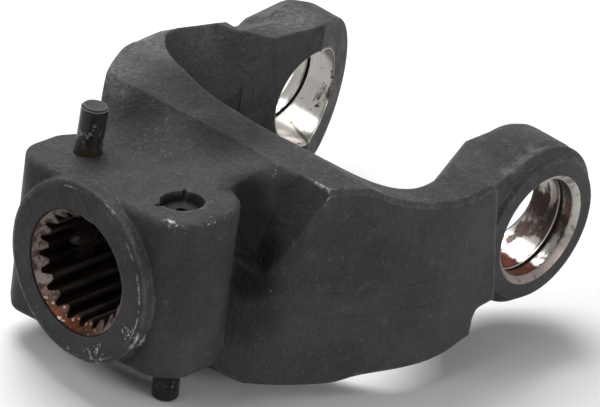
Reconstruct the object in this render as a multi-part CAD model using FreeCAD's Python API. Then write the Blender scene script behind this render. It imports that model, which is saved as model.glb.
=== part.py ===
"""Forged end yoke for a farm driveshaft: long fork, splined hub, two push pins that lock it."""
import math
import os

import FreeCAD
import Part

V = FreeCAD.Vector

# Frame: origin where the hub axis crosses the bearing axis. +X runs to the hub face, Y along the
# bearing bores, +Z up. The part nearly repeats when it is turned half a turn about the hub axis.

# Splined hub, 1 3/4 inch with 20 teeth
HUB_FACE_X = 176.0
TEETH = 20
MODULE = 25.4 / 12
PITCH_R = TEETH * MODULE / 2
TOOTH_TIP_R = PITCH_R - 0.5 * MODULE
GROOVE_R = PITCH_R + 0.68 * MODULE
PRESSURE_ANGLE = 30.0
MOUTH_R = GROOVE_R + 2.4
NOSE_R = 36.0
NOSE_EDGE = 2.2
NOSE_LENGTH = 7.0
HUB_CORE_R = 33.0
HUB_CORE_START_X = 132.0
HUB_FLARE_X = 157.0
HUB_FLARE_R = 35.4

# Hub block that carries the two pins
BLOCK_TOP = 33.5
BLOCK_SLOPE = 0.115
BLOCK_EDGE = 3.0
BLOCK_PLAN = [(170.5, 0), (170.5, 37), (162, 47), (146, 47), (134, 40), (112, 0)]
BLOCK_CORNER = 9.0

# Web that joins the hub to the arms
WEB_TOP = 42.3
WEB_BOTTOM = 44.0
SADDLE_LINE = [(0, 0), (0.2, 0.33), (0.42, 0.6), (0.7, 0.84), (1, 1)]
SADDLE_FOOT = [(-44, 126, 24), (-30, 138, 29.8), (-6, 132.5, 32.6), (12, 134, 34.6), (30, 137, 36.7),
               (44, 119, 5)]
WEB_INNER_X = 94.0
RIDGE_FRONT = [(106.5, 66), (115, -62)]
FACET_FALL = [(66, 16, 42), (44, 16, 36), (24, 16, 17), (-62, 17, 14.5)]
FACET_HEAD = 12.0

# Arms
EAR_OUTER_Y = 78.0
EAR_INNER_Y = 47.0
ARM_OUTER_Y = 79.4
ARM_OUTER_WALL = [(136, 33), (125, 46), (112, 56.5), (97, 65), (80, 72.8), (64, 78), (50, ARM_OUTER_Y)]
ARM_INNER_WALL = [(44, 47.4), (58, 51), (70, 52.5), (80, 49), (88, 38), (92.5, 22), (WEB_INNER_X, 0)]
ARM_TOP_LINE = [(96, WEB_TOP), (88, 39.6), (77, 35), (62, 32), (45, 31), (34, 31.8)]
ARM_BOTTOM_LINE = [(36, -37), (46, -39.4), (60, -40.6), (75, -41), (88, -42), (99, -WEB_BOTTOM)]
ARM_END_X = 34.0
ARM_END_LOW = [(24, -22.5), (34, -23.5), (35.6, -27.5)]
FORGED_EDGE = 2.0

# Inside of the arms: a hollow by the web, a slanting facet, and a crown that runs on to the ear
SCOOP_TOP_NEAR = [(41.5, 43.9), (54, 47.5), (69, 51), (80, 48.5), (88, 37), (92, 18)]
SCOOP_TOP_FAR = [(45.6, 68.7), (56, 70.8), (67, 69.5), (78, 61), (86, 44), (91.5, 18)]
FACET_TOP = [(42, 47, 9), (45, 65, 38), (15.6, 47, 31)]
SCOOP_BOTTOM_NEAR = [(51.4, 41.9), (60, 48), (70, 51), (80, 48.5), (88, 37), (92, 18)]
SCOOP_BOTTOM_FAR = [(43.9, 69.1), (56, 71.3), (67, 69.8), (78, 61), (86, 44), (91.5, 18)]
FACET_BOTTOM = [(50, 47, 11.5), (45, 65, 38), (29, 47.2, 36)]
CROWN_TOP_LINE = [(50, 30.2), (40, 30.3), (30, 30.1), (15, 30.1), (0, 30.1)]
CROWN_BOTTOM_LINE = [(44, -38.6), (32, -36.6), (20, -35.4), (10, -34.5), (0, -34)]
CROWN_END_Y = 68.6
CROWN_FALL_Y = 56.0
CROWN_FALL = 0.5

# Outer slope of the left arm's top
SLOPE_CREST_Y = 64.0
SLOPE_CREST_Z = 43.0
SLOPE_FALL = 0.62
SLOPE_BREAK_X = 62.0
SLOPE_END_X = 18.0
SLOPE_DIP = 0.19
SLOPE_LAST_X = -12.0
SLOPE_RISE = 0.11

# Ears and bearing bores
EAR_R = 34.0
EAR_TOP_ROUND = [(-1, -4.9), (2.5, -1.2), (5.5, 0), (5.5, 4), (-1, 4)]
LIP_Y = 74.5
LIP_SHIFT_X = 1.8
LIP_SHIFT_Z = 1.4
TIP_BEVEL_START_X = -1.0
TIP_BEVEL_ANGLE = 23.0
BORE_R = 21.0
BORE_MOUTH = 2.3
BORE_INNER_MOUTH = 0.8
RING_GROOVE_Y = 70.0
RING_GROOVE_WIDTH = 1.8
RING_GROOVE_DEPTH = 1.1

# Push pins
PIN_X = 150.3
PIN_TILT = 3.0
STEM_R = 5.25
STEM_CLEARANCE = 0.25
PIN_TOP = 50.3
PIN_CHAMFER = 0.9
BODY_R = 8.4
BODY_CLEARANCE = 0.1
LOCK_DEPTH = 1.5
PIN_Y = TOOTH_TIP_R - LOCK_DEPTH + BODY_R
BODY_TOP = 24.0
BODY_BOTTOM = -12.0
PIN_TRAVEL = 9.0
NOTCH_CLEARANCE = 0.4

# Return springs and the washers that hold them in
SPRING_R = 5.6
SPRING_WIRE_R = 0.7
SPRING_COILS = 5.0
SPRING_STEPS = 12
WASHER_THICKNESS = 2.0
WASHER_OUTER_FACE = -32.0
WASHER_HOLE_R = 2.6
WASHER_CLEARANCE = 0.15
STAKE_COUNT = 3
STAKE_WIDTH = 2.6
STAKE_REACH = 3.0


def prism(points, low, high):
    """Solid over a closed plan outline, from one height to another."""
    wire = Part.makePolygon([V(x, y, low) for x, y in points] + [V(points[0][0], points[0][1], low)])
    return Part.Face(wire).extrude(V(0, 0, high - low))


def turned(profile, axis):
    """Solid of revolution from a half profile of (along, radius) points; axis is X, Y or Z."""
    if axis == "X":
        pts = [V(a, r, 0) for a, r in profile]
        direction = V(1, 0, 0)
    elif axis == "Y":
        pts = [V(r, a, 0) for a, r in profile]
        direction = V(0, 1, 0)
    else:
        pts = [V(r, 0, a) for a, r in profile]
        direction = V(0, 0, 1)
    face = Part.Face(Part.makePolygon(pts + [pts[0]]))
    return face.revolve(V(0, 0, 0), direction, 360)


def half_turn(shape):
    """Copy of a shape turned half a turn about the hub axis."""
    copy = shape.copy()
    copy.rotate(V(0, 0, 0), V(1, 0, 0), 180)
    return copy


def with_twin(shape):
    return shape.fuse(half_turn(shape))


def on_pin_axis(shape):
    """Move a shape drawn about the Z axis onto the axis of the upper push pin."""
    copy = shape.copy()
    copy.rotate(V(0, 0, 0), V(0, 1, 0), -PIN_TILT)
    copy.translate(V(PIN_X, -PIN_Y, 0))
    return copy


def upright_edges(shape, radius, keep):
    """Round the upright edges of a prism where keep(x, y) is true."""
    picked = []
    for edge in shape.Edges:
        a = edge.Vertexes[0].Point
        b = edge.Vertexes[-1].Point
        if abs(a.x - b.x) + abs(a.y - b.y) < 0.01 and abs(a.z - b.z) > 1 and keep(a.x, a.y):
            picked.append(edge)
    return shape.makeFillet(radius, picked)


def smooth(points, start, end):
    """Smooth edge through points, leaving along start and arriving along end."""
    curve = Part.BSplineCurve()
    curve.interpolate(Points=points, InitialTangent=start, FinalTangent=end)
    return curve.toShape()


def outline(*runs):
    """Closed face from corner points and smooth edges, given in order."""
    edges = []
    last = None
    first = None
    for run in runs:
        head = run if isinstance(run, FreeCAD.Vector) else run.Vertexes[0].Point
        tail = run if isinstance(run, FreeCAD.Vector) else run.Vertexes[-1].Point
        if last is None:
            first = head
        elif last.distanceToPoint(head) > 0.001:
            edges.append(Part.makeLine(last, head))
        if run is not head:
            edges.append(run)
        last = tail
    edges.append(Part.makeLine(last, first))
    return Part.Face(Part.Wire(edges))


def fork_side():
    """The arm at +Y with its half of the web, before the bores are cut."""
    low = -60
    outer = smooth([V(x, y, low) for x, y in ARM_OUTER_WALL], V(-0.6, 0.8, 0), V(-1, 0, 0))
    inner = smooth([V(x, y, low) for x, y in ARM_INNER_WALL], V(1, 0.1, 0), V(0, -1, 0))
    plan = outline(V(136, 0, low), outer, V(18, ARM_OUTER_Y, low), V(18, EAR_INNER_Y, low), inner)
    top = smooth([V(x, -20, z) for x, z in ARM_TOP_LINE], V(-1, 0, 0), V(-1, 0.0, 0.05))
    bottom = smooth([V(x, -20, z) for x, z in ARM_BOTTOM_LINE], V(1, 0, -0.1), V(1, 0, 0))
    end = [V(x, -20, z) for x, z in ARM_END_LOW]
    side = outline(V(140, -20, WEB_TOP), top, *end, bottom, V(124, -20, -WEB_BOTTOM), V(140, -20, -35))
    arm = plan.extrude(V(0, 0, 120)).common(side.extrude(V(0, 120, 0))).Solids[0]
    rims = [e for e in arm.Edges if e.CenterOfMass.y > 62 and abs(e.CenterOfMass.z) > 28 and e.Length > 25]
    return arm.makeChamfer(FORGED_EDGE, rims)


def crown(heights, sign, fall):
    """Bridge from the arm to the top (sign 1) or underside (sign -1) of the ear at +Y."""
    ridge = smooth([V(x, EAR_INNER_Y, z) for x, z in heights], V(-1, 0, -0.1 * sign), V(-1, 0, 0))
    start = heights[0][0]
    end = heights[-1][0]
    block = outline(V(start, EAR_INNER_Y, 0), ridge, V(end, EAR_INNER_Y, 0)).extrude(V(0, 40, 0))
    bounds = prism([(start, EAR_INNER_Y), (start, ARM_OUTER_Y - 2), (ARM_END_X, ARM_OUTER_Y - 2),
                    (end, CROWN_END_Y), (end, EAR_INNER_Y)], -60, 60)
    level = heights[0][1]
    reach = 30
    far_y = CROWN_FALL_Y + reach
    slope = [V(start, CROWN_FALL_Y, level), V(start, far_y, level - sign * reach * fall),
             V(start, far_y, level + sign * reach), V(start, CROWN_FALL_Y, level + sign * reach)]
    top_drop = heights[-1][1] - level
    above = Part.Face(Part.makePolygon(slope + slope[:1])).extrude(V(end - start, 0, top_drop))
    block = block.common(bounds)
    if fall > 0:
        block = block.cut(above)
    return block.Solids[0]


def facet(corners, sign):
    """Space past the slanting three-cornered facet inside the arm, at its top or underside."""
    apex, outer_corner, ear_corner = [V(x, y, z * sign) for x, y, z in corners]
    along = outer_corner - apex
    across = ear_corner - apex
    near = apex - along * 0.9
    far = apex + along * 2
    plane = Part.Face(Part.makePolygon([near, far, far + across * 2.4, near + across * 2.4, near]))
    normal = along.cross(across)
    normal.normalize()
    if normal.y > 0:
        normal = normal * -1
    return plane.extrude(normal * 60)


def scoop(near, far, sign):
    """Space of the hollow inside the arm where it meets the web, wider away from the middle."""
    wires = []
    for points, z in ((near, 4.0), (far, 44.0)):
        corners = [V(x, y, z * sign) for x, y in points]
        curve = Part.BSplineCurve()
        curve.interpolate(Points=corners)
        back = [corners[-1], V(corners[-1].x, 5, z * sign), V(corners[0].x, 5, z * sign), corners[0]]
        wires.append(Part.Wire([curve.toShape()] + Part.makePolygon(back).Edges))
    return Part.makeLoft(wires, True, True)


def ear():
    """Round ear at +Y with its bevels, and the lip that runs round its upper side."""
    body = turned([(EAR_INNER_Y, 0), (EAR_INNER_Y, EAR_R - 1.2), (EAR_INNER_Y + 1.2, EAR_R),
                   (EAR_OUTER_Y - 10, EAR_R), (EAR_OUTER_Y - 3, EAR_R - 2), (EAR_OUTER_Y, EAR_R - 4.5),
                   (EAR_OUTER_Y, 0)], "Y")
    rounding = turned([(EAR_INNER_Y + y, EAR_R + r) for y, r in EAR_TOP_ROUND], "Y")
    body = body.cut(rounding.common(Part.makeBox(200, 20, 60, V(-100, EAR_INNER_Y - 5, 0))))
    lip = turned([(LIP_Y - 10, 0), (LIP_Y - 10, EAR_R - 6), (LIP_Y - 3, EAR_R - 1.6),
                  (LIP_Y - 1, EAR_R - 0.4), (LIP_Y, EAR_R - 0.4), (LIP_Y + 1.2, EAR_R - 2.4),
                  (LIP_Y + 1.2, 0)], "Y")
    lip.translate(V(LIP_SHIFT_X, 0, LIP_SHIFT_Z))
    reach = 60.0
    rise = reach * math.tan(math.radians(TIP_BEVEL_ANGLE))
    start = TIP_BEVEL_START_X
    bevel = prism([(start, EAR_INNER_Y), (start - reach, EAR_INNER_Y + rise),
                   (start - reach, EAR_INNER_Y - 20), (start, EAR_INNER_Y - 20)], -60, 60)
    return body.fuse(lip).removeSplitter().cut(bevel)


def ridge_x(y):
    """Where the ridge along the top of the web has its front edge."""
    (x_a, y_a), (x_b, y_b) = RIDGE_FRONT
    return x_a + (x_b - x_a) * (y - y_a) / (y_b - y_a)


def front_facet():
    """Space in front of the ridge: a slope above the hub that steepens to a wall beside it."""
    sections = []
    for y, run, drop in FACET_FALL:
        head_run = FACET_HEAD * run / drop
        foot = WEB_TOP - drop
        corners = [V(ridge_x(y) - head_run, y, WEB_TOP + FACET_HEAD), V(ridge_x(y) + run, y, foot),
                   V(170, y, foot - 3), V(170, y, WEB_TOP + FACET_HEAD)]
        sections.append(Part.makePolygon(corners + corners[:1]))
    return Part.makeLoft(sections, True, True)


def saddle():
    """Metal that rises from the top of the hub block to the ridge of the web."""
    sections = []
    for y, foot_x, foot_z in SADDLE_FOOT:
        start = V(ridge_x(y), y, WEB_TOP - 0.2)
        foot = V(foot_x, y, foot_z)
        points = [V(start.x + (foot.x - start.x) * run, y, start.z + (foot.z - start.z) * drop)
                  for run, drop in SADDLE_LINE]
        line = smooth(points, V(1, 0, -0.8), V(1, 0, -0.2))
        corners = [points[-1], V(foot_x, y, -8), V(start.x, y, -8), points[0]]
        sections.append(Part.Wire([line] + Part.makePolygon(corners).Edges))
    return Part.makeLoft(sections, True, True)


def left_arm_slope():
    """Space above the left arm and ear, whose tops fall away to their outer side."""
    drop = (90 - SLOPE_CREST_Y) * SLOPE_FALL
    edge = [V(SLOPE_BREAK_X, -SLOPE_CREST_Y, SLOPE_CREST_Z), V(SLOPE_BREAK_X, -90, SLOPE_CREST_Z - drop),
            V(SLOPE_BREAK_X, -90, 75), V(SLOPE_BREAK_X, -SLOPE_CREST_Y, 75)]
    section = Part.Face(Part.makePolygon(edge + edge[:1]))
    run = SLOPE_BREAK_X - SLOPE_END_X
    falling = V(-run, 0, -run * SLOPE_DIP)
    last_run = SLOPE_END_X - SLOPE_LAST_X
    over_ear = section.translated(falling).extrude(V(-last_run, 0, last_run * SLOPE_RISE))
    return section.extrude(V(26, 0, 0)).fuse([section.extrude(falling), over_ear])


def underside_blend():
    """Wedge below the web that takes its underside from the left half's height to the right's."""
    sections = []
    left_line = [(x, -z) for x, z in reversed(ARM_TOP_LINE[:3])]
    for y, line in ((0, left_line), (26, ARM_BOTTOM_LINE[3:])):
        rim = [V(x, y, z) for x, z in line] + [V(146, y, line[-1][1])]
        corners = rim + [V(146, y, -60), V(line[0][0], y, -60)]
        sections.append(Part.makePolygon(corners + corners[:1]))
    return Part.makeLoft(sections, True, True)


def spline_cutter(start, end):
    """Long prism with the outline of the internal spline."""
    points = []
    pitch_half_space = math.pi * PITCH_R / TEETH / 2
    for k in range(TEETH):
        mid = 2 * math.pi * (k + 0.5) / TEETH
        for radius, side in ((TOOTH_TIP_R, -1), (GROOVE_R, -1), (GROOVE_R, 1), (TOOTH_TIP_R, 1)):
            width = pitch_half_space + (PITCH_R - radius) * math.tan(math.radians(PRESSURE_ANGLE))
            angle = mid + side * width / radius
            points.append(V(start, radius * math.cos(angle), radius * math.sin(angle)))
    face = Part.Face(Part.makePolygon(points + [points[0]]))
    return face.extrude(V(end - start, 0, 0))


def hub_block():
    """Block behind the nose with a lobe each side for the pins."""
    plan = BLOCK_PLAN + [(x, -y) for x, y in reversed(BLOCK_PLAN[1:-1])]
    block = upright_edges(prism(plan, -50, 50), BLOCK_CORNER, lambda x, y: abs(y) > 32)
    reach = 60
    tilt = reach * BLOCK_SLOPE
    ends = [V(100, -reach, BLOCK_TOP - tilt), V(100, reach, BLOCK_TOP + tilt),
            V(100, reach, -BLOCK_TOP + tilt), V(100, -reach, -BLOCK_TOP - tilt)]
    slab = Part.Face(Part.makePolygon(ends + ends[:1])).extrude(V(100, 0, 0))
    block = block.common(slab).Solids[0]
    rims = [e for e in block.Edges if abs(e.Vertexes[0].Point.z - e.Vertexes[-1].Point.z) < 6]
    return block.makeFillet(BLOCK_EDGE, rims)


def bearing_bore():
    """Cutter for one bearing bore with its mouth chamfers and ring groove."""
    groove_r = BORE_R + RING_GROOVE_DEPTH
    groove_in = RING_GROOVE_Y - RING_GROOVE_WIDTH / 2
    groove_out = RING_GROOVE_Y + RING_GROOVE_WIDTH / 2
    inner_r = BORE_R + BORE_INNER_MOUTH
    groove = [(groove_in, BORE_R), (groove_in, groove_r), (groove_out, groove_r), (groove_out, BORE_R)]
    inner = [(EAR_INNER_Y - 6, 0), (EAR_INNER_Y - 6, inner_r), (EAR_INNER_Y, inner_r),
             (EAR_INNER_Y + BORE_INNER_MOUTH, BORE_R)]
    outer = [(EAR_OUTER_Y - BORE_MOUTH, BORE_R), (EAR_OUTER_Y + 2, BORE_R + BORE_MOUTH + 2),
             (EAR_OUTER_Y + 2, 0)]
    return turned(inner + groove + outer, "Y")


def pin_bore():
    """Stepped bore of one push pin: open for its stem at the top, full size below."""
    stem_r = STEM_R + STEM_CLEARANCE
    body_r = BODY_R + BODY_CLEARANCE
    stem = [(60, 0), (60, stem_r), (BODY_TOP, stem_r)]
    return turned(stem + [(BODY_TOP, body_r), (-60, body_r), (-60, 0)], "Z")


def stakes():
    """Punch marks round the open end of a pin bore."""
    marks = []
    rim = BODY_R + BODY_CLEARANCE
    half = STAKE_WIDTH / 2
    for k in range(STAKE_COUNT):
        wires = []
        for z, grown in ((-31, 0.2), (-37, 1.0)):
            wide = half * grown
            far = rim + STAKE_REACH * grown
            corners = [V(rim - 1, -wide, z), V(far - wide, -wide, z), V(far, 0, z), V(far - wide, wide, z),
                       V(rim - 1, wide, z)]
            wires.append(Part.makePolygon(corners + corners[:1]))
        mark = Part.makeLoft(wires, True, True)
        mark.rotate(V(0, 0, 0), V(0, 0, 1), 20 + 360 * k / STAKE_COUNT)
        marks.append(mark)
    return marks[0].fuse(marks[1:])


def forging():
    nose_start = HUB_FACE_X - NOSE_LENGTH
    nose = turned([(nose_start, 0), (nose_start, NOSE_R), (HUB_FACE_X - 1.2, NOSE_R),
                   (HUB_FACE_X, NOSE_R - NOSE_EDGE), (HUB_FACE_X, 0)], "X")
    core = turned([(HUB_CORE_START_X, 0), (HUB_CORE_START_X, HUB_CORE_R), (HUB_FLARE_X, HUB_CORE_R),
                   (nose_start, HUB_FLARE_R), (nose_start, 0)], "X")
    arm = fork_side().fuse(ear())
    arm = arm.fuse(crown(CROWN_TOP_LINE, 1, 0)).fuse(crown(CROWN_BOTTOM_LINE, -1, CROWN_FALL))
    arm = arm.cut(facet(FACET_TOP, 1)).cut(scoop(SCOOP_TOP_NEAR, SCOOP_TOP_FAR, 1))
    arm = arm.cut(facet(FACET_BOTTOM, -1)).cut(scoop(SCOOP_BOTTOM_NEAR, SCOOP_BOTTOM_FAR, -1))
    arm = arm.removeSplitter()
    fork = arm.fuse(half_turn(arm)).removeSplitter()
    over = Part.makeBox(60, 200, 20, V(86, -100, WEB_TOP))
    fork = fork.cut(front_facet()).cut(left_arm_slope()).cut(over).cut(underside_blend()).fuse(saddle())
    body = hub_block()
    for piece in (core, nose, fork):
        body = body.fuse(piece)
    body = body.removeSplitter()
    body = body.cut(with_twin(bearing_bore()))
    body = body.cut(spline_cutter(60, HUB_FACE_X + 1))
    mouth = turned([(HUB_FACE_X + 1, 0), (HUB_FACE_X + 1, MOUTH_R + 1), (HUB_FACE_X - 5, MOUTH_R - 5),
                    (HUB_FACE_X - 5, 0)], "X")
    body = body.cut(mouth)
    drilled = on_pin_axis(pin_bore().fuse(stakes()))
    return body.cut([drilled, half_turn(drilled)])


def push_pin():
    body = turned([(PIN_TOP, 0), (PIN_TOP, STEM_R - PIN_CHAMFER), (PIN_TOP - PIN_CHAMFER, STEM_R),
                   (BODY_TOP, STEM_R), (BODY_TOP, BODY_R), (BODY_BOTTOM, BODY_R), (BODY_BOTTOM, 0)], "Z")
    notch = Part.makeCylinder(GROOVE_R + NOTCH_CLEARANCE, 40, V(-20, PIN_Y, PIN_TRAVEL), V(1, 0, 0))
    return body.cut(notch)


def return_spring():
    low = WASHER_OUTER_FACE + WASHER_THICKNESS + SPRING_WIRE_R
    high = BODY_BOTTOM - SPRING_WIRE_R
    steps = int(SPRING_COILS * SPRING_STEPS)
    rings = []
    for k in range(steps + 1):
        turn = 2 * math.pi * k / SPRING_STEPS
        height = low + (high - low) * k / steps
        ring = []
        for m in range(6):
            angle = math.pi * m / 3
            radius = SPRING_R + SPRING_WIRE_R * math.cos(angle)
            rise = SPRING_WIRE_R * math.sin(angle)
            ring.append(V(radius * math.cos(turn), radius * math.sin(turn), height + rise))
        rings.append(Part.makePolygon(ring + ring[:1]))
    return Part.makeLoft(rings, True, True)


def retaining_washer():
    outer = BODY_R + BODY_CLEARANCE - WASHER_CLEARANCE
    low = WASHER_OUTER_FACE
    high = low + WASHER_THICKNESS
    return turned([(low, WASHER_HOLE_R), (low, outer), (high, outer), (high, WASHER_HOLE_R)], "Z")


os.makedirs("parts", exist_ok=True)
forging().exportStep("parts/yoke_forging.step")
pin = on_pin_axis(push_pin())
pin.exportStep("parts/push_pin_upper.step")
half_turn(pin).exportStep("parts/push_pin_lower.step")
spring = on_pin_axis(return_spring())
spring.exportStep("parts/return_spring_upper.step")
half_turn(spring).exportStep("parts/return_spring_lower.step")
washer = on_pin_axis(retaining_washer())
washer.exportStep("parts/retaining_washer_upper.step")
half_turn(washer).exportStep("parts/retaining_washer_lower.step")
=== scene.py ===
"""Forged driveshaft end yoke, finished and lit as in the photograph."""
import bpy
from mathutils import Matrix, Vector


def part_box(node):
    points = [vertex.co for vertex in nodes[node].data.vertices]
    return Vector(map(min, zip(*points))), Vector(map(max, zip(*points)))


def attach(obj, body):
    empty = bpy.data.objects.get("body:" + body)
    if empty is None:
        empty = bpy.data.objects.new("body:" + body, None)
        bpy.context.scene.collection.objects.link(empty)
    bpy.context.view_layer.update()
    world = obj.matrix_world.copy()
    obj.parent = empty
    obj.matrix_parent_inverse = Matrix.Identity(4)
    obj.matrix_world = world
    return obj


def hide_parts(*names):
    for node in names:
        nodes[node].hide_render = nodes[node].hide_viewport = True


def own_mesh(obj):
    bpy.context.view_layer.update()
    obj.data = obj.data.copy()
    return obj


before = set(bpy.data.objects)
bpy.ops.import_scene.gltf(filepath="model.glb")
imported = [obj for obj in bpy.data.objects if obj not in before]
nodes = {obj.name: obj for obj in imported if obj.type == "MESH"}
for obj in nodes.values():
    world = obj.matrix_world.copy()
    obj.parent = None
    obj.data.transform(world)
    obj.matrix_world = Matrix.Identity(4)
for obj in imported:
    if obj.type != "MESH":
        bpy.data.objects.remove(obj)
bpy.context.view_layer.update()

# The camera stands in front of the hub, above it and on the right ear's side, with a long
# lens, and leans by about 8 degrees, as the photograph does.
camera_data = bpy.data.cameras.new("camera")
camera_data.sensor_width = 36.0
camera_data.lens = 240.0
camera_data.clip_end = 20.0
camera = bpy.data.objects.new("camera", camera_data)
bpy.context.scene.collection.objects.link(camera)
right = Vector((-0.69402, 0.70846, 0.12818))
up = Vector((-0.27548, -0.42581, 0.86186))
back = Vector((0.66517, 0.56283, 0.49068))
camera.matrix_world = Matrix((right, up, back)).transposed().to_4x4()
camera.location = (1.10025, 0.88532, 0.76262)
bpy.context.scene.camera = camera


# Forging: one piece of steel, hammered hot in a die and trimmed, then bored and broached.
# All but its bores is sprayed with black satin paint, which is worn along the edges and
# chipped round the hub's face.
def put(tree, kind, *links, **values):
    """Adds a node; links are (socket, source) pairs and values set its properties."""
    made = tree.nodes.new(kind)
    for name, value in values.items():
        setattr(made, name, value)
    for socket, source in links:
        if hasattr(source, "is_output"):
            tree.links.new(source, made.inputs[socket])
        else:
            made.inputs[socket].default_value = source
    return made


def calc(tree, operation, a, b=0.0, c=0.0):
    """One sum of numbers."""
    return put(tree, "ShaderNodeMath", (0, a), (1, b), (2, c), operation=operation).outputs[0]


def times(tree, a, b):
    return calc(tree, "MULTIPLY", a, b)


def add_share(tree, base, value, share):
    """The base with a share of the value added."""
    return calc(tree, "MULTIPLY_ADD", value, share, base)


def less_half(tree, value):
    """Brings a noise of 0 to 1 to both sides of nought."""
    return calc(tree, "SUBTRACT", value, 0.5)


def rest_of(tree, value):
    """What a mask leaves free."""
    return calc(tree, "SUBTRACT", 1.0, value)


def off_from(tree, value, level):
    """How far a value is from a level, up or down."""
    return calc(tree, "ABSOLUTE", calc(tree, "SUBTRACT", value, level))


def larger(tree, a, b):
    return calc(tree, "MAXIMUM", a, b)


def over(tree, value, limit):
    return calc(tree, "GREATER_THAN", value, limit)


def under(tree, value, limit):
    return calc(tree, "LESS_THAN", value, limit)


def band(tree, value, low, high, to_low=0.0, to_high=1.0):
    """Eases from to_low to to_high while value goes from low to high."""
    eased = put(tree, "ShaderNodeMapRange", ("Value", value), ("From Min", low),
                ("From Max", high), ("To Min", to_low), ("To Max", to_high),
                interpolation_type="SMOOTHSTEP")
    return eased.outputs["Result"]


def blend_colour(tree, factor, a, b):
    """Goes from colour a to colour b; a plain colour is given as red, green and blue."""
    a, b = (c + (1,) if isinstance(c, tuple) else c for c in (a, b))
    mixed = put(tree, "ShaderNodeMix", (0, factor), (6, a), (7, b), data_type="RGBA")
    return mixed.outputs[2]


def noise(tree, place, scale, detail, roughness):
    made = put(tree, "ShaderNodeTexNoise", ("Vector", place), ("Scale", scale),
               ("Detail", detail), ("Roughness", roughness))
    return made.outputs["Fac"]


def scaled(tree, place, factors):
    made = put(tree, "ShaderNodeVectorMath", (0, place), (1, factors), operation="MULTIPLY")
    return made.outputs[0]


def length(tree, vector):
    made = put(tree, "ShaderNodeVectorMath", (0, vector), operation="LENGTH")
    return made.outputs["Value"]


def near_spots(tree, place, spots):
    """Rises to 1 at each spot, given as its place and reach."""
    nearest = 0.0
    for spot, reach in spots:
        away = put(tree, "ShaderNodeVectorMath", (0, place), (1, spot), operation="DISTANCE")
        nearest = larger(tree, nearest, band(tree, away.outputs["Value"], reach, 0.25 * reach))
    return nearest


def own_place(tree):
    """Each point's place on the object itself, in metres."""
    return tree.nodes.new("ShaderNodeTexCoord").outputs["Object"]


def new_material(name):
    """An empty material and its tree."""
    material = bpy.data.materials.new(name)
    material.use_nodes = True
    material.node_tree.nodes.clear()
    return material, material.node_tree


def new_group(name, inputs, outputs):
    """An empty group of nodes with numbers in and out."""
    group = bpy.data.node_groups.new(name, "ShaderNodeTree")
    for names, direction in ((inputs, "INPUT"), (outputs, "OUTPUT")):
        for socket in names:
            group.interface.new_socket(socket, in_out=direction, socket_type="NodeSocketFloat")
    return group, group.nodes.new("NodeGroupInput"), group.nodes.new("NodeGroupOutput")


def surface(tree, *links):
    """Puts out the material's surface, a shader with these inputs."""
    shader = put(tree, "ShaderNodeBsdfPrincipled", *links)
    put(tree, "ShaderNodeOutputMaterial", ("Surface", shader.outputs[0]))


def worn_edge(tree, reach, break_up):
    """Mask of the worn edge, as wide as reach and the more broken the higher break_up is."""
    made = put(tree, "ShaderNodeGroup", node_tree=edge_group)
    made.inputs["Reach"].default_value = reach
    made.inputs["Break Up"].default_value = break_up
    return made.outputs["Mask"]


def dress(name, material):
    """Gives a node of the frame its material."""
    nodes[name].data.materials.clear()
    nodes[name].data.materials.append(material)


# worn edge, which the paint, the pins and the washers share
edge_group, edge_in, edge_out = new_group("worn_edge", ("Reach", "Break Up"), ("Mask",))
place = own_place(edge_group)
rounded = put(edge_group, "ShaderNodeBevel", ("Radius", edge_in.outputs["Reach"]), samples=6)
flat = edge_group.nodes.new("ShaderNodeNewGeometry").outputs["Normal"]
likeness = put(edge_group, "ShaderNodeVectorMath", (0, rounded.outputs[0]), (1, flat),
               operation="DOT_PRODUCT")
near_edge = band(edge_group, likeness.outputs["Value"], 0.99, 0.86)
patches = noise(edge_group, place, 240.0, 5.0, 0.65)
uneven = add_share(edge_group, near_edge, less_half(edge_group, patches),
                   edge_in.outputs["Break Up"])
edge_group.links.new(band(edge_group, uneven, 0.35, 0.95), edge_out.inputs["Mask"])

# forged skin under the paint: fine and coarse grain with shallow pits
skin_group, skin_in, skin_out = new_group("forged_skin", ("Scale",), ("Height", "Speckle"))
place = own_place(skin_group)
skin_scale = skin_in.outputs["Scale"]
fine = noise(skin_group, place, skin_scale, 6.0, 0.7)
coarse = noise(skin_group, place, times(skin_group, skin_scale, 0.30), 4.0, 0.6)
pits = put(skin_group, "ShaderNodeTexVoronoi", ("Vector", place),
           ("Scale", times(skin_group, skin_scale, 0.55)))
pitted = times(skin_group, band(skin_group, pits.outputs["Distance"], 0.0, 0.45), 0.35)
height = calc(skin_group, "ADD", add_share(skin_group, fine, coarse, 1.5), pitted)
skin_group.links.new(height, skin_out.inputs["Height"])
mottle = add_share(skin_group, times(skin_group, fine, 0.8), coarse, 0.2)
skin_group.links.new(band(skin_group, mottle, 0.50, 0.66), skin_out.inputs["Speckle"])

paint, tree = new_material("black_forged_paint")
place = own_place(tree)
x, y, z = put(tree, "ShaderNodeSeparateXYZ", (0, place)).outputs
side = calc(tree, "ABSOLUTE", y)
from_hub_axis = length(tree, scaled(tree, place, (0, 1, 1)))
from_ear_axis = length(tree, scaled(tree, place, (1, 0, 1)))

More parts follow.
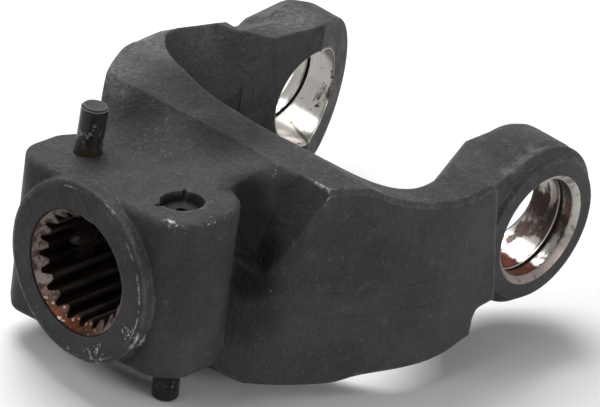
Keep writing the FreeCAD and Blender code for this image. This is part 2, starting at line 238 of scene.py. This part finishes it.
# paint: nearly black, mottled by the scale under it, greyer on worn edges, and lighter on faces
# that look up, partly the scale's own speckle and partly painted sheen
skin = put(tree, "ShaderNodeGroup", node_tree=skin_group)
skin.inputs["Scale"].default_value = 820.0
worn = worn_edge(tree, 0.0026, 3.4)
cloudy = noise(tree, place, 30.0, 5.0, 0.65)
facing = tree.nodes.new("ShaderNodeNewGeometry").outputs["Normal"]
facing_up = put(tree, "ShaderNodeSeparateXYZ", (0, facing)).outputs[2]
speckle_and_sheen = times(tree, skin.outputs["Speckle"], band(tree, facing_up, 0.2, 0.8, 0.20, 0.55))
dark_paint = (0.0325, 0.0325, 0.0336)
grey_paint = (0.0540, 0.0535, 0.0542)
speckle_sheen_grey = (0.140, 0.139, 0.144)
worn_paint = (0.20, 0.20, 0.20)
colour = blend_colour(tree, band(tree, cloudy, 0.3, 0.7), dark_paint, grey_paint)
colour = blend_colour(tree, speckle_and_sheen, colour, speckle_sheen_grey)
colour = blend_colour(tree, times(tree, worn, 0.42), colour, worn_paint)
rough = band(tree, noise(tree, place, 140.0, 5.0, 0.65), 0.3, 0.7, 0.40, 0.58)

# painted shade in the saddle, in the valley between the ridge and the right lobe, and in the
# pocket of that lobe's stake marks, where these hollows lie in shadow
painted_shade = (0.007, 0.007, 0.007)
deep_painted_shade = (0.0035, 0.0035, 0.0035)
saddle_spots = (((0.092, -0.022, 0.042), 0.030), ((0.104, 0.004, 0.040), 0.026),
                ((0.119, -0.030, 0.038), 0.014))
valley_spots = (((0.1235, 0.0340, 0.0330), 0.015), ((0.1245, 0.0370, 0.0244), 0.018),
                ((0.1235, 0.0405, 0.0129), 0.018), ((0.1260, 0.0430, 0.0020), 0.016))
pocket_spot = (((0.1520, 0.0270, 0.0300), 0.0105),)
valley_ends = (((0.1270, 0.0440, -0.0100), 0.020), ((0.1180, 0.0420, 0.0280), 0.022))
saddle_shade = near_spots(tree, place, saddle_spots)
saddle_shade = times(tree, saddle_shade, band(tree, cloudy, 0.25, 0.60, 0.60, 1.0))
colour = blend_colour(tree, times(tree, saddle_shade, 0.78), colour, painted_shade)
valley = near_spots(tree, place, valley_spots)
valley = larger(tree, valley, near_spots(tree, place, pocket_spot))
valley = larger(tree, valley, times(tree, 0.5, near_spots(tree, place, valley_ends)))
colour = blend_colour(tree, times(tree, valley, 0.90), colour, deep_painted_shade)

# tops of the left arm and ear and the right ear's lip: rubbed paint and a painted highlight
rubbed_and_lit_grey = (0.185, 0.185, 0.192)
left_top_spots = (((0.112, -0.060, 0.042), 0.024), ((0.085, -0.066, 0.042), 0.024),
                  ((0.055, -0.066, 0.038), 0.020), ((0.010, -0.060, 0.034), 0.022))
right_lip_spots = (((0.020, 0.0735, 0.030), 0.006), ((0.012, 0.0720, 0.0325), 0.006),
                   ((0.003, 0.0705, 0.0335), 0.005))
rubbed_and_highlight = near_spots(tree, place, left_top_spots + right_lip_spots)
rubbed_and_highlight = times(tree, rubbed_and_highlight, band(tree, facing_up, 0.35, 0.80))
rubbed_and_highlight = times(tree, rubbed_and_highlight, band(tree, noise(tree, place, 520.0, 5.0, 0.7), 0.32, 0.68))
colour = blend_colour(tree, times(tree, rubbed_and_highlight, 0.65), colour, rubbed_and_lit_grey)

# bare steel: chips knocked from the hub's rim, the right lobe and the ridge, and scuffs along
# the lobe and the ridge; each lowers the limit over which a cell of the noise is chipped
bare_steel = (0.56, 0.56, 0.55)
rim_knocks = (((0.176, 0.0120, -0.0270), 0.0125), ((0.174, 0.0300, -0.0130), 0.0100),
              ((0.176, 0.0125, 0.0312), 0.0065), ((0.175, 0.0040, -0.0340), 0.0110),
              ((0.174, -0.0180, -0.0270), 0.0070))
lobe_knocks = (((0.164, 0.0400, 0.0380), 0.0100), ((0.156, 0.0466, 0.0370), 0.0100))
ridge_knocks = (((0.106, 0.0550, 0.0410), 0.0120), ((0.118, 0.0170, 0.0390), 0.0140))
lobe_scuffs = (((0.1672, 0.0300, 0.0365), 0.0050), ((0.1665, 0.0350, 0.0370), 0.0050),
               ((0.1645, 0.0400, 0.0375), 0.0055), ((0.1610, 0.0440, 0.0372), 0.0055),
               ((0.1562, 0.0466, 0.0370), 0.0050))
ridge_scuffs = (((0.1165, 0.0250, 0.0395), 0.0070), ((0.1140, 0.0350, 0.0405), 0.0070),
                ((0.1110, 0.0450, 0.0412), 0.0065), ((0.1070, 0.0570, 0.0420), 0.0060))
chip_cells = noise(tree, place, 520.0, 6.0, 0.75)
chip_groups = noise(tree, place, 70.0, 2.0, 0.5)
knocked = near_spots(tree, place, rim_knocks + lobe_knocks + ridge_knocks)
on_rim = times(tree, band(tree, from_hub_axis, 0.0262, 0.0285), band(tree, x, 0.1655, 0.1690))
chip_limit = add_share(tree, 0.745, times(tree, knocked, on_rim), -0.150)
chip_limit = add_share(tree, chip_limit, times(tree, knocked, worn), -0.210)
scraped = near_spots(tree, place, lobe_scuffs + ridge_scuffs)
chip_limit = add_share(tree, chip_limit, scraped, -0.112)
chip_limit = add_share(tree, chip_limit, less_half(tree, chip_groups), -0.25)
chipped = over(tree, chip_cells, chip_limit)

# the thin turned edge of the hub's face: bare steel through the paint and a painted highlight,
# brighter at the right
face_edge_r = 0.0340
nose_back = 0.1690
off_edge = off_from(tree, from_hub_axis, face_edge_r)
lit_turned_edge = band(tree, off_edge, 0.00040, 0.00015)
lit_turned_edge = times(tree, lit_turned_edge, band(tree, chip_cells, 0.44, 0.54))
highlight_side = band(tree, y, 0.0300, 0.0322)
bright_groups = band(tree, chip_groups, 0.54, 0.62, 0.0, 0.6)
lit_turned_edge = times(tree, lit_turned_edge, larger(tree, highlight_side, bright_groups))
lit_turned_edge = times(tree, lit_turned_edge, over(tree, x, nose_back))
chipped = larger(tree, chipped, times(tree, lit_turned_edge, 0.6))
colour = blend_colour(tree, chipped, colour, bare_steel)

# bored ears: turned steel, stained brown in rings, the right one most of all above its bottom
bore_limit_r = 0.02192
mouth_limit_r = 0.02339
ear_inner = 0.0461
mouth_start = 0.0755
in_mouth = over(tree, side, mouth_start)
ear_limit = add_share(tree, bore_limit_r, in_mouth, mouth_limit_r - bore_limit_r)
in_ear = times(tree, under(tree, from_ear_axis, ear_limit), over(tree, side, ear_inner))
right_ear = over(tree, y, 0.0)
rings = noise(tree, scaled(tree, place, (0.30, 1.3, 0.30)), 150.0, 5.0, 0.65)
blots = noise(tree, place, 62.0, 5.0, 0.62)
specks = noise(tree, place, 300.0, 4.0, 0.65)
stain = add_share(tree, times(tree, blots, 0.55), rings, 0.45)
stain = add_share(tree, stain, less_half(tree, specks), 0.10)
more_stained = band(tree, z, -0.0175, -0.0135, 0.0, -0.135)
more_stained = calc(tree, "ADD", more_stained, band(tree, z, 0.0000, 0.0100, 0.0, 0.060))
stain_limit = add_share(tree, 0.600, right_ear, more_stained)
stained = band(tree, calc(tree, "SUBTRACT", stain, stain_limit), -0.030, 0.035)

# rust along the bottom of the right ear's bore
low_side = times(tree, band(tree, z, -0.0120, -0.0150), right_ear)
rust_edge = add_share(tree, x, less_half(tree, blots), 0.020)
past_groove = over(tree, side, 0.0705)
rust_edge = add_share(tree, rust_edge, past_groove, 0.0050)
rusted = times(tree, band(tree, rust_edge, -0.0040, -0.0015), low_side)

# a painted reflection: a bright stripe along the bottom of each ear's bore; and a slanting dull
# streak
left_middle, right_middle = -0.0098, -0.0065
left_half_width, right_half_width = 0.0030, 0.0042
stripe_top = -0.010
middle = add_share(tree, left_middle, right_ear, right_middle - left_middle)
half_width = add_share(tree, left_half_width, right_ear, right_half_width - left_half_width)
from_middle = off_from(tree, x, middle)
from_middle = add_share(tree, from_middle, less_half(tree, specks), 0.004)
past_stripe = calc(tree, "SUBTRACT", from_middle, half_width)
reflection_stripe = times(tree, band(tree, past_stripe, 0.0016, -0.0006), under(tree, z, stripe_top))
off_streak = off_from(tree, add_share(tree, x, side, 0.35), 0.0155)
dull_streak = band(tree, off_streak, 0.0012, 0.0004, 0.0, 0.8)

turning = noise(tree, scaled(tree, place, (0.02, 1, 0.02)), 2600.0, 2.0, 0.5)
satin = blend_colour(tree, turning, (0.29, 0.275, 0.255), (0.43, 0.41, 0.385))
bright = blend_colour(tree, reflection_stripe, satin, (0.52, 0.51, 0.49))
bright = blend_colour(tree, dull_streak, bright, (0.09, 0.075, 0.065))
brown = blend_colour(tree, rings, (0.030, 0.017, 0.012), (0.125, 0.083, 0.062))
bore_colour = blend_colour(tree, times(tree, stained, 0.92), bright, brown)
rust_grain = band(tree, specks, 0.38, 0.62)
rust_red = blend_colour(tree, rust_grain, (0.035, 0.009, 0.004), (0.170, 0.036, 0.012))
bore_colour = blend_colour(tree, times(tree, rusted, 0.95), bore_colour, rust_red)
pits = over(tree, noise(tree, place, 260.0, 3.0, 0.6), 0.68)
bore_colour = blend_colour(tree, pits, bore_colour, (0.05, 0.035, 0.03))

# pale mouth with brown dirt, and a black line in the ring groove with a bright rim
groove_rim = 0.0689
groove_limit_r = 0.02118
inner_chamfer, outer_chamfer = 0.0480, 0.0745
lower_mouth = (0.31, 0.26, 0.24)
upper_mouth = (0.50, 0.48, 0.44)
mouth_colour = blend_colour(tree, band(tree, z, -0.016, 0.004), lower_mouth, upper_mouth)
dirty_mouth = add_share(tree, times(tree, specks, 0.5), blots, 0.5)
dirty_mouth = times(tree, band(tree, dirty_mouth, 0.48, 0.56), 0.75)
mouth_colour = blend_colour(tree, dirty_mouth, mouth_colour, (0.13, 0.10, 0.08))
bore_colour = blend_colour(tree, in_mouth, bore_colour, mouth_colour)
bright_rim = band(tree, off_from(tree, side, groove_rim), 0.00035, 0.00015)
bore_colour = blend_colour(tree, bright_rim, bore_colour, (0.55, 0.51, 0.46))
in_groove = over(tree, from_ear_axis, groove_limit_r)
in_groove = times(tree, in_groove, under(tree, side, outer_chamfer))
in_groove = times(tree, in_groove, over(tree, side, inner_chamfer))
groove_dark = blend_colour(tree, band(tree, side, 0.0696, 0.0701), (0.075, 0.045, 0.032),
                           (0.012, 0.007, 0.005))
bore_colour = blend_colour(tree, in_groove, bore_colour, groove_dark)
colour = blend_colour(tree, in_ear, colour, bore_colour)
bore_rough = add_share(tree, 0.24, larger(tree, stained, in_mouth), 0.20)
bore_rough = add_share(tree, bore_rough, rusted, 0.35)
rough = calc(tree, "ADD", times(tree, rough, rest_of(tree, in_ear)),
             times(tree, bore_rough, in_ear))

# splined bore: broached teeth, black brown with old grease; grey on their tips, rubbed steel
# and painted highlight
spline_limit_r = 0.0252
spline_end = 0.085
tip_r = 0.02020
in_hub = times(tree, under(tree, from_hub_axis, spline_limit_r), over(tree, x, spline_end))
grease = noise(tree, scaled(tree, place, (0.25, 1, 1)), 160.0, 4.0, 0.6)
spline_colour = blend_colour(tree, band(tree, grease, 0.35, 0.68), (0.0080, 0.0045, 0.0034),
                             (0.030, 0.017, 0.012))
tip_rub_and_highlight = times(tree, band(tree, from_hub_axis, 0.02065, tip_r),
               band(tree, grease, 0.42, 0.62, 0.15, 0.9))
spline_colour = blend_colour(tree, tip_rub_and_highlight, spline_colour, (0.075, 0.066, 0.062))

# its turned mouth is tarnished, with painted shade at the upper left, rusted over the lower
# side, and near black at the very lip
mouth_cone = 0.15085
at_mouth = over(tree, calc(tree, "SUBTRACT", x, from_hub_axis), mouth_cone)
tarnish = noise(tree, place, 230.0, 5.0, 0.68)
tarnished = blend_colour(tree, band(tree, tarnish, 0.42, 0.58), (0.075, 0.046, 0.037),
                         (0.36, 0.30, 0.28))
rust_spread = add_share(tree, calc(tree, "SUBTRACT", -0.012, z), tarnish, 0.030)
rusty = blend_colour(tree, band(tree, tarnish, 0.35, 0.62), (0.030, 0.011, 0.007),
                     (0.110, 0.036, 0.014))
# bright specks on the rust are painted glints
painted_glint = times(tree, over(tree, noise(tree, place, 420.0, 3.0, 0.6), 0.62), 0.8)
rusty = blend_colour(tree, painted_glint, rusty, (0.46, 0.40, 0.36))
mouth_colour = blend_colour(tree, band(tree, rust_spread, 0.017, 0.025), tarnished, rusty)
shaded = times(tree, band(tree, calc(tree, "SUBTRACT", z, y), -0.002, 0.014), 0.5)
mouth_colour = blend_colour(tree, shaded, mouth_colour, (0.030, 0.020, 0.016))
dark_lip = band(tree, add_share(tree, from_hub_axis, tarnish, 0.0012), 0.0249, 0.0253)
mouth_colour = blend_colour(tree, dark_lip, mouth_colour, (0.010, 0.009, 0.009))
spline_colour = blend_colour(tree, at_mouth, spline_colour, mouth_colour)
colour = blend_colour(tree, in_hub, colour, spline_colour)
rough = calc(tree, "ADD", times(tree, rough, rest_of(tree, in_hub)), times(tree, 0.36, in_hub))

# where the steel is bare enough to shine as metal
covered = larger(tree, larger(tree, times(tree, stained, 0.7), rusted), in_groove)
bare = times(tree, in_ear, rest_of(tree, covered))
bare = larger(tree, times(tree, bare, add_share(tree, 1.0, in_mouth, -0.6)),
              times(tree, times(tree, in_hub, at_mouth), 0.4))

# two trimmed lines of flash along the outside of each arm, where the halves of the die met
turned_z = times(tree, z, calc(tree, "SIGN", y))
drifting = add_share(tree, turned_z, noise(tree, place, 18.0, 2.0, 0.5), 0.005)
outside = times(tree, band(tree, side, 0.0530, 0.0560), band(tree, x, 0.036, 0.042))
outside = times(tree, outside, band(tree, x, 0.112, 0.100))
flash = 0.0
for level in (0.0005, -0.0105):
    flash = larger(tree, flash, band(tree, off_from(tree, drifting, level), 0.0007, 0.0))
flash = times(tree, flash, outside)
unpainted = larger(tree, in_ear, in_hub)
grain = times(tree, skin.outputs["Height"], rest_of(tree, unpainted))
grain = add_share(tree, grain, times(tree, turning, in_ear), 0.04)
grain = add_share(tree, grain, flash, 0.7)
grain = add_share(tree, grain, chipped, -0.5)
soft = put(tree, "ShaderNodeBevel", ("Radius", 0.0020), samples=6)
bump = put(tree, "ShaderNodeBump", ("Height", grain), ("Distance", 0.00065), ("Strength", 0.85),
           ("Normal", soft.outputs[0]))
surface(tree, ("Base Color", colour), ("Roughness", rough), ("Metallic", bare),
        ("Specular IOR Level", 0.07), ("Normal", bump.outputs[0]))
dress("yoke_forging", paint)


# Push pins: turned and hardened steel, oiled dark, with pale blotches on the stems, a bright
# chamfer round each button's tip and brown grime where the stem enters the block.
pin_steel, tree = new_material("oiled_pin_steel")
place = own_place(tree)
height = calc(tree, "ABSOLUTE", put(tree, "ShaderNodeSeparateXYZ", (0, place)).outputs[2])
cloudy = noise(tree, scaled(tree, place, (1, 1, 0.35)), 260.0, 4.0, 0.6)
colour = blend_colour(tree, band(tree, cloudy, 0.3, 0.7), (0.008, 0.008, 0.008),
                      (0.024, 0.023, 0.022))
blotchy = band(tree, noise(tree, place, 330.0, 4.0, 0.6), 0.54, 0.62)
blotchy = times(tree, blotchy, band(tree, height, 0.0460, 0.0435))
colour = blend_colour(tree, times(tree, blotchy, 0.7), colour, (0.21, 0.205, 0.20))
grime = band(tree, add_share(tree, height, cloudy, 0.006), 0.0405, 0.0355)
colour = blend_colour(tree, grime, colour, (0.034, 0.023, 0.017))
colour = blend_colour(tree, worn_edge(tree, 0.0009, 0.8), colour, (0.40, 0.38, 0.36))
rough = band(tree, cloudy, 0.3, 0.7, 0.26, 0.42)
drawn = noise(tree, scaled(tree, place, (1, 1, 0.03)), 2400.0, 2.0, 0.5)
bump = put(tree, "ShaderNodeBump", ("Height", drawn), ("Distance", 0.00006), ("Strength", 0.5))
metal = add_share(tree, 0.30, grime, -0.2)
surface(tree, ("Base Color", colour), ("Roughness", rough), ("Metallic", metal),
        ("Specular IOR Level", 0.30), ("Normal", bump.outputs[0]))
for name in ("push_pin_upper", "push_pin_lower"):
    dress(name, pin_steel)


# Return springs: bare wire, coiled cold, with a film of grease. Each is shown by a copy of
# itself, hung on the yoke's body in place of the part's own.
spring_wire, tree = new_material("spring_wire")
place = own_place(tree)
cloudy = noise(tree, place, 500.0, 4.0, 0.6)
colour = blend_colour(tree, cloudy, (0.13, 0.12, 0.11), (0.34, 0.32, 0.30))
rough = band(tree, cloudy, 0.3, 0.7, 0.28, 0.45)
bump = put(tree, "ShaderNodeBump", ("Height", cloudy), ("Distance", 0.00003), ("Strength", 0.4))
surface(tree, ("Base Color", colour), ("Roughness", rough), ("Metallic", 0.9),
        ("Normal", bump.outputs[0]))
for name, turned in (("upper", 1), ("lower", -1)):
    dress("return_spring_" + name, spring_wire)
    coil = bpy.data.objects.new("coil_" + name, nodes["return_spring_" + name].data.copy())
    bpy.context.scene.collection.objects.link(coil)
    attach(coil, "yoke")
    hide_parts("return_spring_" + name)
    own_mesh(coil)


# Retaining washers: punched steel discs, dropped on the springs and held by the staked rims,
# and painted over with the block.
washer_paint, tree = new_material("washer_paint")
place = own_place(tree)
cloudy = noise(tree, place, 320.0, 4.0, 0.6)
colour = blend_colour(tree, band(tree, cloudy, 0.35, 0.65), (0.007, 0.0065, 0.006),
                      (0.020, 0.018, 0.016))
worn = worn_edge(tree, 0.0005, 1.0)
colour = blend_colour(tree, times(tree, worn, 0.4), colour, (0.16, 0.145, 0.13))
rough = band(tree, cloudy, 0.3, 0.7, 0.40, 0.58)
bump = put(tree, "ShaderNodeBump", ("Height", cloudy), ("Distance", 0.00008), ("Strength", 0.5))
surface(tree, ("Base Color", colour), ("Roughness", rough), ("Specular IOR Level", 0.10),
        ("Normal", bump.outputs[0]))
for name in ("retaining_washer_upper", "retaining_washer_lower"):
    dress(name, washer_paint)


# Floor and light: a pale plain floor just under the lower button, and a bright soft studio.
# Both are paler to the camera than the light that they throw on the part.
def seen_by_camera(tree):
    """1 where the camera sees it, straight on, in a gloss or through something clear."""
    path = tree.nodes.new("ShaderNodeLightPath")
    seen = larger(tree, path.outputs["Is Camera Ray"], path.outputs["Is Transmission Ray"])
    return larger(tree, seen, path.outputs["Is Glossy Ray"])


floor_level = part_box("push_pin_lower")[0].z - 0.0002
bpy.ops.object.select_all(action="DESELECT")
bpy.ops.mesh.primitive_plane_add(size=6.0, location=(0.1, 0.0, floor_level))
floor = bpy.context.active_object
floor.name = "floor"
floor_white, tree = new_material("floor_white")
pale = blend_colour(tree, seen_by_camera(tree), (0.52, 0.52, 0.52), (0.86, 0.86, 0.86))
surface(tree, ("Base Color", pale), ("Roughness", 0.9))
floor.data.materials.append(floor_white)

world = bpy.data.worlds.new("studio")
bpy.context.scene.world = world
world.use_nodes = True
tree = world.node_tree
tree.nodes.clear()
strength = add_share(tree, 0.19, seen_by_camera(tree), 0.81)
sky = put(tree, "ShaderNodeBackground", ("Color", (1, 1, 1, 1)), ("Strength", strength))
put(tree, "ShaderNodeOutputWorld", ("Surface", sky.outputs[0]))

aimed_at = Vector((0.09, 0.0, 0.0))
for name, spot, size, power in (("top_light", (-0.10, -0.55, 1.1), 0.8, 18.0),
                                ("front_light", (1.2, -0.2, 0.9), 0.6, 5.0),
                                ("side_light", (0.0, 1.35, 0.24), 0.6, 9.5)):
    lamp = bpy.data.lights.new(name, "AREA")
    lamp.energy = power
    lamp.size = size
    holder = bpy.data.objects.new(name, lamp)
    bpy.context.scene.collection.objects.link(holder)
    holder.location = spot
    holder.rotation_euler = (aimed_at - Vector(spot)).to_track_quat("-Z", "Y").to_euler()

bpy.context.scene.view_settings.view_transform = "Standard"
